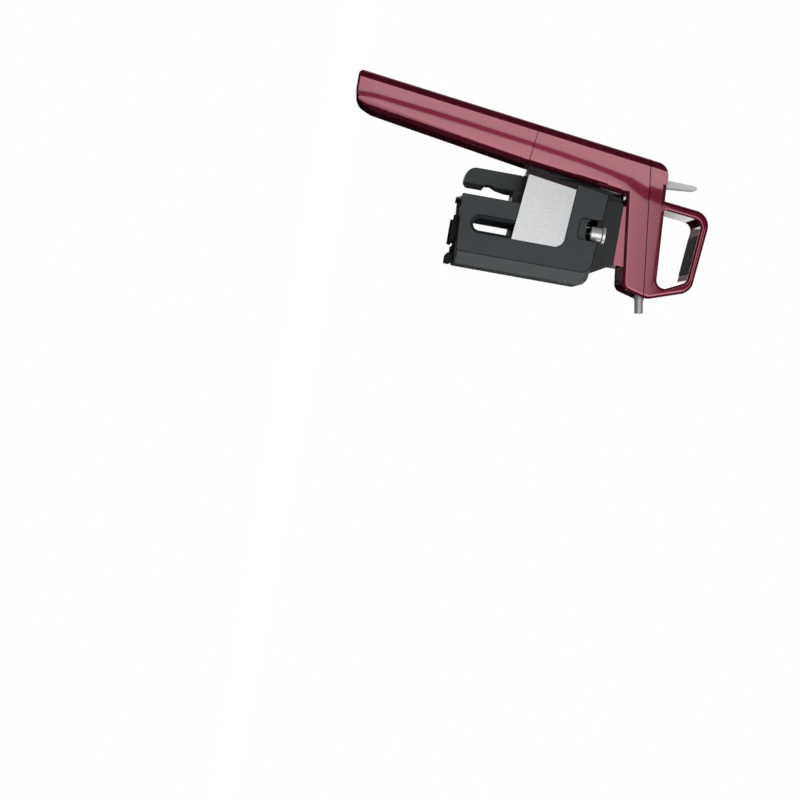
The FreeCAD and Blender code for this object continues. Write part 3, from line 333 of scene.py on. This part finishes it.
def softened(node, radius_mm, material):
    """A sub-part with its sharp edges rounded as far as its smallest faces leave room, and with flat faces
    kept flat in their shading."""
    work = whole_faces(node)
    if node in BROAD_ROUNDS:
        BROAD_ROUNDS[node](work)
    for face in work.faces:
        face.smooth = True
    mesh = mesh_of(work, node + "_finished")
    mesh.materials.append(material)
    piece = new_object(node + "_finished", mesh)
    bevel = piece.modifiers.new("edge_rounding", "BEVEL")
    bevel.width = radius_mm * MM
    bevel.segments = ROUND_STEPS
    bevel.limit_method = "ANGLE"
    bevel.angle_limit = SHARP
    bevel.use_clamp_overlap = True
    shading = piece.modifiers.new("even_shading", "WEIGHTED_NORMAL")
    shading.mode = "FACE_AREA"
    shading.weight = 60
    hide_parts(node)
    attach(piece, BODY_OF[node])


# Sub-part, widest radius of its edges in mm, material. The shells, the clamp frame, the jaws and their pads
# have such small faces that their edges stay nearly sharp, apart from the broad rounds.
EDGES = (("head_shell", 0.22, LACQUER), ("top_cover", 0.22, LACQUER), ("cup_shell", 0.22, LACQUER),
         ("jaw_shell_left", 0.3, JAW_ABS), ("jaw_shell_right", 0.3, JAW_ABS), ("clamp_frame", 0.3, FRAME_ABS),
         ("lever", 0.35, JAW_ABS), ("carriage", 0.2, FRAME_ABS),
         ("badge_plate_left", 0.12, SATIN), ("badge_plate_right", 0.12, SATIN), ("trigger", 0.25, BLASTED),
         ("spout_tube", 0.1, TUMBLED), ("slide_rail", 0.15, BLACK_ALUMINIUM), ("saddle_strip", 0.12, STEEL),
         ("hinge_pin_left", 0.2, NICKEL), ("hinge_pin_right", 0.2, NICKEL),
         ("hinge_sleeve_left", 0.2, NICKEL), ("hinge_sleeve_right", 0.2, NICKEL),
         ("lever_pin", 0.15, CHROME), ("trigger_pin", 0.15, CHROME),
         ("jaw_pad_left", 0.25, RUBBER), ("jaw_pad_right", 0.25, RUBBER), ("saddle_pad", 0.2, RUBBER),
         ("mouth_gasket", 0.12, RUBBER), ("loop_grip", 0.3, GRIP),
         ("needle_hub", 0.15, STEEL), ("needle", 0.02, STEEL))
for node, radius, material in EDGES:
    softened(node, radius, material)


# ---------------------------------------------------------------- painted shadow in the fine joints

ON_SEAM = 0.02 * MM             # edges nearer to a seam's plane than this run along it
SEAM_DEPTH_MM = 0.4             # how far a seam's band goes into the wall
OUTLINE_DEPTH_MM = 0.3          # and the outline of a jaw
OUTLINE_PROUD_MM = 0.02         # a hair over the face, so that it shows
OUTLINE_WIDE_MM = 0.34          # at the edges towards the spout and the cover
OUTLINE_NARROW_MM = 0.2         # at all others


def painted_gap_shadow(node, corners_at):
    """Painted shadow: a thin dark band along some edges of a sub-part; corners_at gives the band's corners at
    an edge.
    """
    source = whole_faces(node)
    band = bmesh.new()
    for edge in source.edges:
        corners = corners_at(edge) if len(edge.link_faces) == 2 else None
        if corners:
            ends = [[band.verts.new(v.co + corner * MM) for corner in corners] for v in edge.verts]
            for i in range(4):
                j = (i + 1) % 4
                band.faces.new((ends[0][i], ends[0][j], ends[1][j], ends[1][i]))
            band.faces.new(ends[0])
            band.faces.new(reversed(ends[1]))
    source.free()
    bmesh.ops.recalc_face_normals(band, faces=band.faces)
    mesh = mesh_of(band, node + "_joint_shadow")
    mesh.materials.append(SHADOW_GAP)
    piece = new_object(node + "_joint_shadow", mesh)
    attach(piece, BODY_OF[node])


def painted_seam_shadow(node, seam, up, low_mm, high_mm, proud_mm):
    """Painted shadow in the fine joint at a shell's edge: a thin dark band along its outline, between two
    heights.
    """
    low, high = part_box(node)
    middle = (Vector(low) + Vector(high)) / 2

    def corners_at(edge):
        if any(abs(height_over(v.co, seam, up)) > ON_SEAM for v in edge.verts):
            return None
        level = (edge.verts[0].co + edge.verts[1].co) / 2 - middle
        for wall in edge.link_faces:
            if abs(wall.normal.dot(up)) < 0.5 and wall.normal.x * level.x + wall.normal.y * level.y > 0:
                inner = wall.normal * (proud_mm - SEAM_DEPTH_MM)
                outer = wall.normal * proud_mm
                return (up * low_mm + outer, up * high_mm + outer, up * high_mm + inner, up * low_mm + inner)
        return None

    painted_gap_shadow(node, corners_at)


def painted_outline_shadow(node, side):
    """A painted shadow line round a jaw's flat side and round what is let into it."""
    low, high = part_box(node)
    face_y = low[1] if side < 0 else high[1]
    normal = Vector((0.0, side, 0.0))

    def corners_at(edge):
        flat = [face.normal.y * side > 0.99 for face in edge.link_faces]
        if flat[0] == flat[1] or any(abs(v.co.y - face_y) > 0.6 * MM for v in edge.verts):
            return None
        wall = edge.link_faces[flat.index(False)].normal
        inward = -(wall - normal * wall.dot(normal)).normalized()
        wide = inward * (OUTLINE_WIDE_MM if wall.x > 0.3 or wall.z > 0.3 else OUTLINE_NARROW_MM)
        proud, deep = normal * OUTLINE_PROUD_MM, normal * -OUTLINE_DEPTH_MM
        return (proud, proud + wide, deep + wide, deep)

    painted_gap_shadow(node, corners_at)


# painted shadow along the cover's and the cup's seams
painted_seam_shadow("top_cover", COVER_SEAM, COVER_UP, -0.22, 0.22, 0.03)
painted_seam_shadow("cup_shell", CUP_SEAM, CUP_UP, 0.0, 0.3, -0.15)
# painted shadow lines round the jaws' flat sides and round what is let into them
painted_outline_shadow("jaw_shell_left", -1)
painted_outline_shadow("jaw_shell_right", 1)


# ---------------------------------------------------------------- wound springs

COIL_STEPS = 28                 # bends in one turn of a spring
WIRE_SIDES = 10


def spring_tree():
    """Geometry nodes that wind a round wire into a coil of a given size."""
    tree = bpy.data.node_groups.new("wound_spring", "GeometryNodeTree")
    for name in ("Coil Radius", "Wire Radius", "Turns", "Length"):
        tree.interface.new_socket(name, in_out="INPUT", socket_type="NodeSocketFloat")
    tree.interface.new_socket("Wire", in_out="INPUT", socket_type="NodeSocketMaterial")
    tree.interface.new_socket("Spring", in_out="OUTPUT", socket_type="NodeSocketGeometry")
    given = add(tree, "NodeGroupInput").outputs
    path = add(tree, "GeometryNodeCurveSpiral", {
        "Resolution": COIL_STEPS, "Rotations": given["Turns"], "Start Radius": given["Coil Radius"],
        "End Radius": given["Coil Radius"], "Height": given["Length"]})
    wire = add(tree, "GeometryNodeCurvePrimitiveCircle", {"Resolution": WIRE_SIDES,
                                                          "Radius": given["Wire Radius"]})
    coil = add(tree, "GeometryNodeCurveToMesh", {"Curve": path.outputs["Curve"],
                                                 "Profile Curve": wire.outputs["Curve"], "Fill Caps": True})
    whole = add(tree, "GeometryNodeRealizeInstances", {"Geometry": coil.outputs["Mesh"]})
    smooth = add(tree, "GeometryNodeSetShadeSmooth", {"Geometry": whole.outputs["Geometry"]})
    finish = add(tree, "GeometryNodeSetMaterial", {"Geometry": smooth.outputs["Geometry"],
                                                   "Material": given["Wire"]})
    add(tree, "NodeGroupOutput", {"Spring": finish.outputs["Geometry"]})
    return tree


SPRINGS = spring_tree()
X, Y, Z = range(3)
ONTO_AXIS = (Matrix.Rotation(math.radians(90), 4, "Y"), Matrix.Rotation(math.radians(-90), 4, "X"),
             Matrix.Identity(4))    # turns a coil that stands up onto each axis


def wound_spring(node, axis, wire_mm, turns):
    """A coil in the space of a plain sleeve, along one axis of the frame, as a plain mesh."""
    low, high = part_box(node)
    across = (axis + 1) % 3
    wire = wire_mm * MM
    sizes = {"Coil Radius": (high[across] - low[across]) / 2 - wire / 2, "Wire Radius": wire / 2,
             "Turns": float(turns), "Length": high[axis] - low[axis] - wire, "Wire": SPRING_STEEL}
    maker = new_object(node + "_maker", bpy.data.meshes.new(node + "_maker"))
    modifier = maker.modifiers.new("winding", "NODES")
    modifier.node_group = SPRINGS
    for socket in SPRINGS.interface.items_tree:
        if socket.in_out == "INPUT":
            modifier[socket.identifier] = sizes[socket.name]
    mesh = bpy.data.meshes.new_from_object(maker.evaluated_get(bpy.context.evaluated_depsgraph_get()))
    bpy.data.objects.remove(maker)
    start = [(a + b) / 2 for a, b in zip(low, high)]
    start[axis] = low[axis] + wire / 2
    mesh.transform(Matrix.Translation(Vector(start)) @ ONTO_AXIS[axis])
    work = bmesh.new()
    work.from_mesh(mesh)
    bmesh.ops.recalc_face_normals(work, faces=work.faces)
    work.to_mesh(mesh)
    work.free()
    mesh.name = node + "_coil"
    piece = new_object(node + "_coil", mesh)
    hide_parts(node)
    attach(piece, BODY_OF[node])


wound_spring("jaw_spring_left", Z, 0.7, 3.5)
wound_spring("jaw_spring_right", Z, 0.7, 3.5)
wound_spring("lever_spring", Y, 0.9, 8.0)
wound_spring("valve_spring", X, 0.5, 16.0)


# ---------------------------------------------------------------- camera, background and floor

SENSOR_MM = 36.0
LENS_MM = 78.75
PAPER_WHITE = 0.70              # light that the paper adds where it is seen, up to the background's white
PAPER_FADE = (0.22, 0.5)        # between these distances it turns into plain white, in metres
PAPER_REACH = 6.0


def camera_on_the_left():
    """Camera a metre off the left side, rolled so that the held dispenser leans as it pours."""
    # the frame's directions that run right, down and ahead as the camera sees them
    right = Vector((-0.17452398, -0.02854569, 0.98423906))
    down = Vector((0.98431094, -0.03140026, 0.17362603))
    ahead = Vector((0.02594909, 0.99909918, 0.03357793))
    data = bpy.data.cameras.new("camera")
    data.sensor_width = SENSOR_MM
    data.lens = LENS_MM
    data.clip_start = 0.01
    data.clip_end = 20.0
    camera = new_object("camera", data)
    turn = Matrix((right, -down, -ahead)).transposed().to_4x4()
    camera.matrix_world = Matrix.Translation(Vector((76.982, -992.695, -123.120)) * MM) @ turn
    bpy.context.scene.camera = camera


def ray_that_is_seen(tree):
    """1 where the camera looks, straight, through something or in a mirror; 0 for light on matt pieces."""
    path = add(tree, "ShaderNodeLightPath").outputs
    straight = add(tree, "ShaderNodeMath", {0: path["Is Camera Ray"], 1: path["Is Transmission Ray"]},
                   operation="MAXIMUM").outputs["Value"]
    return add(tree, "ShaderNodeMath", {0: straight, 1: path["Is Glossy Ray"]},
               operation="MAXIMUM").outputs["Value"]


def blend(tree, share, one, other):
    """Two shaders mixed by a share of the second."""
    return add(tree, "ShaderNodeMixShader", {0: share, 1: one, 2: other}).outputs["Shader"]


def studio_world():
    """White where it is seen, straight or in a mirror; a dimmer soft fill for everything else."""
    world = bpy.data.worlds.new("studio")
    world.use_nodes = True
    tree = world.node_tree
    tree.nodes.clear()
    fill = add(tree, "ShaderNodeBackground", {"Color": linear("FFFFFF"), "Strength": 0.40})
    white = add(tree, "ShaderNodeBackground", {"Color": linear("FFFFFF"), "Strength": 1.0})
    mixed = blend(tree, ray_that_is_seen(tree), fill.outputs["Background"], white.outputs["Background"])
    add(tree, "ShaderNodeOutputWorld", {"Surface": mixed})
    bpy.context.scene.world = world


def plain_material(name, colour, rough=1.0, shine=0.0):
    """An even colour for the studio's own sheets, matt unless told otherwise."""
    material, tree, shader, where = begin(name)
    shader.inputs["Base Color"].default_value = linear(colour)
    shader.inputs["Roughness"].default_value = rough
    shader.inputs["Specular IOR Level"].default_value = shine
    return material, tree, shader, where


def sheet_of(name, corners, material, faces=((0, 1, 2, 3),)):
    """A flat sheet of the studio."""
    mesh = bpy.data.meshes.new(name)
    mesh.from_pydata([Vector(c) for c in corners], [], faces)
    mesh.materials.append(material)
    sheet = new_object(name, mesh)
    return sheet


def pale_floor(height):
    """Matt pale paper under the dispenser: it keeps the shadow, and further out it is the background."""
    material, tree, shader, where = plain_material("matt_white_paper", "F0F0EF")
    seen = ray_that_is_seen(tree)
    away = add(tree, "ShaderNodeVectorMath", {0: where}, operation="LENGTH").outputs["Value"]
    far = stretched(tree, away, PAPER_FADE, 0.0, 1.0, interpolation_type="SMOOTHSTEP")
    far = add(tree, "ShaderNodeMath", {0: far, 1: seen}, operation="MULTIPLY").outputs["Value"]
    lift = add(tree, "ShaderNodeMath", {0: seen, 1: PAPER_WHITE}, operation="MULTIPLY").outputs["Value"]
    glow = add(tree, "ShaderNodeEmission", {"Color": linear("FFFFFF"), "Strength": lift})
    near = add(tree, "ShaderNodeAddShader", {0: shader.outputs["BSDF"], 1: glow.outputs["Emission"]})
    white = add(tree, "ShaderNodeEmission", {"Color": linear("FFFFFF"), "Strength": 1.0})
    mixed = blend(tree, far, near.outputs["Shader"], white.outputs["Emission"])
    tree.links.new(mixed, tree.nodes["Material Output"].inputs["Surface"])
    ends = ((-1, -1), (1, -1), (1, 1), (-1, 1))
    sheet_of("floor", [(x * PAPER_REACH, y * PAPER_REACH, height) for x, y in ends], material)


# ---------------------------------------------------------------- lamps, black sheets and nets
# The camera looks along +Y. The sheets and nets only show in reflections, where they draw the dark
# edges of the shiny pieces. Places and sizes are in metres.

LAMP = 4.4                      # watts of a softbox for each square metre of its cloth
LAMP_LEAN = math.radians(10.2)  # the main softbox is rolled much as the camera is
FLOOR = CAD_BOX[0][2] - 0.5 * MM
ON_FLOOR = FLOOR + 0.2 * MM     # sheets that lie on the paper
ON_SHEET = ON_FLOOR + 0.2 * MM
SET_FRONT, SET_BACK = -0.99, 1.0    # the black sheets stand between these, along Y
SET_TOP = 1.0

FLAG = plain_material("black_flag_cloth", "040404")[0]
# dark from above, a mirror at a flat angle, so that the floor doesn't cut off the lamps' reflections
ACRYLIC = plain_material("polished_black_acrylic", "020202", 0.0, 0.5)[0]


def area_light(name, place, target, width, height, power, roll=0.0):
    """A rectangular softbox that faces a target; the camera doesn't see it."""
    data = bpy.data.lights.new(name, "AREA")
    data.shape = "RECTANGLE"
    data.size = width
    data.size_y = height
    data.energy = power
    lamp = new_object(name, data)
    away = (Vector(place) - Vector(target)).normalized()
    up = Vector((math.sin(roll), 0.0, math.cos(roll)))
    side = up.cross(away).normalized()
    lamp.matrix_world = (Matrix.Translation(Vector(place))
                         @ Matrix((side, away.cross(side), away)).transposed().to_4x4())
    lamp.visible_camera = False
    return lamp


def only_in_reflections(sheet):
    """Hides a sheet from the camera and from the light on everything else."""
    sheet.visible_camera = False
    sheet.visible_diffuse = sheet.visible_transmission = sheet.visible_shadow = False


def grey_net(name, corners, axis, span, clear):
    """A net that dims reflections, from one clearness to another between two places on an axis."""
    material, tree, shader, where = plain_material(name + "_cloth", "040404")
    place = add(tree, "ShaderNodeSeparateXYZ", {"Vector": where}).outputs[axis]
    share = stretched(tree, place, span, clear[0], clear[1], interpolation_type="SMOOTHSTEP")
    through = add(tree, "ShaderNodeBsdfTransparent").outputs["BSDF"]
    mixed = blend(tree, share, shader.outputs["BSDF"], through)
    tree.links.new(mixed, tree.nodes["Material Output"].inputs["Surface"])
    only_in_reflections(sheet_of(name, corners, material))


def upright(start, end, low, high):
    """Corners of a sheet that stands on a line of the floor's plan."""
    return ((*start, low), (*end, low), (*end, high), (*start, high))


def lying(outline, height):
    """Corners of a sheet that lies at a height, from its plan."""
    return [(x, y, height) for x, y in outline]


camera_on_the_left()
studio_world()
pale_floor(FLOOR)

SHEETS = (
    # beside the spine's back and beyond the spout, for the shell's two dark rims
    ("flag_rear", upright((-0.275, SET_FRONT), (-0.52, 0.02), FLOOR, SET_TOP), FLAG),
    ("flag_front", upright((1.15, SET_FRONT), (0.62, 0.02), FLOOR, SET_TOP), FLAG),
    ("flag_far_side", upright((1.1, -0.1), (1.1, 1.8), FLOOR, SET_TOP), FLAG),
    # beyond the finger loop, and behind the lower part of the set
    ("flag_top", ((-0.6, -1.0, 1.0), (1.2, -1.0, 1.0), (0.7, 0.7, 0.8), (-0.6, 0.7, 0.8)), FLAG),
    ("flag_back", upright((0.045, SET_BACK), (0.62, SET_BACK), FLOOR, 0.14), FLAG),
    ("flag_behind_lamps", upright((-1.5, -1.05), (1.6, -1.05), FLOOR, 1.5), FLAG),
    # under the cup's low end
    ("acrylic_low_front", lying(((-0.6, SET_FRONT), (1.2, SET_FRONT), (1.2, 0.02), (-0.6, 0.02)), ON_FLOOR),
     ACRYLIC),
    ("acrylic_low_back", lying(((-0.07, 0.02), (0.62, 0.02), (0.62, SET_BACK), (0.0, SET_BACK)), ON_FLOOR),
     ACRYLIC),
    ("flag_low_end", lying(((-0.09, 0.004), (-0.02, 0.004), (-0.02, 0.16), (-0.09, 0.16)), ON_SHEET), FLAG))
for name, corners, material in SHEETS:
    only_in_reflections(sheet_of(name, corners, material))

NETS = (
    # name, corners, axis of the change, where it begins and ends, how clear the net is there
    ("net_back", upright((0.045, SET_BACK), (0.62, SET_BACK), 0.14, SET_TOP), "Z", (0.14, 0.24), (0.0, 0.75)),
    ("net_rear", upright((-0.52, 0.02), (-0.45, SET_BACK), FLOOR, SET_TOP), "Y", (0.0, 0.8), (0.02, 0.75)),
    ("net_under", upright((-0.12, 0.98), (0.045, 0.98), FLOOR, 0.14), "X", (-0.12, -0.02), (0.9, 0.05)),
    ("net_chin", upright((-0.22, SET_BACK), (0.02, SET_BACK), FLOOR, -0.04), "X", (-0.20, 0.0), (0.03, 0.20)),
    # in front of the main softbox: the head and the loop mirror it darker than the cup does
    ("net_head", ((-0.170, -0.975, 0.10), (0.12, -0.975, 0.10), (0.12, -0.975, 0.60), (-0.048, -0.975, 0.60)),
     "Z", (0.12, 0.20), (0.95, 0.50)),
    ("net_loop", upright((-0.36, -0.97), (0.12, -0.97), 0.15, 0.60), "Z", (0.186, 0.212), (1.0, 0.0)))
for net in NETS:
    grey_net(*net)

area_light("softbox_main", (0.4429, -1.00, 0.02), (0.4429, 0.0, 0.02), 1.37, 1.80, LAMP * 1.37 * 1.80,
           LAMP_LEAN)
# a strip of black tape down the main softbox, whose mirror image is the dark line along the shell:
# x and z of its middle, and its width
TAPE = ((-0.2045, -0.200, 0.011), (-0.1999, -0.143, 0.010), (-0.1970, -0.115, 0.010),
        (-0.1926, -0.075, 0.009), (-0.1880, -0.034, 0.008), (-0.1838, 0.001, 0.008),
        (-0.1798, 0.036, 0.0075), (-0.1746, 0.071, 0.0075), (-0.1684, 0.1065, 0.0075),
        (-0.1634, 0.130, 0.008), (-0.1568, 0.154, 0.011), (-0.1480, 0.190, 0.017), (-0.1400, 0.220, 0.017))
TAPE_Y = -0.999    # just in front of the softbox's cloth
tape_edges = [(x + side * wide / 2, TAPE_Y, z) for x, z, wide in TAPE for side in (-1, 1)]
tape_faces = [(2 * i, 2 * i + 1, 2 * i + 3, 2 * i + 2) for i in range(len(TAPE) - 1)]
only_in_reflections(sheet_of("flag_tape", tape_edges, FLAG, tape_faces))

# the side lamp is shaded off the lacquered shell and only reaches the plastic and the hinge beside it
SIDE_LIT = bpy.data.collections.new("lit_from_the_side")
for node in ("jaw_shell_left", "jaw_shell_right", "clamp_frame", "lever", "hinge_pin_left",
             "hinge_sleeve_left"):
    SIDE_LIT.objects.link(bpy.data.objects[node + "_finished"])
side_lamp = area_light("softbox_side", (0.78, 0.22, -0.02), (0.0, 0.0, -0.02), 0.45, 1.20,
                       LAMP * 1.3 * 0.45 * 1.20)
side_lamp.light_linking.receiver_collection = SIDE_LIT
area_light("softbox_back", (0.1, 1.2, 0.5), (0.0, 0.0, 0.0), 0.9, 0.9, LAMP * 0.4)
bpy.context.scene.view_settings.view_transform = "Standard"
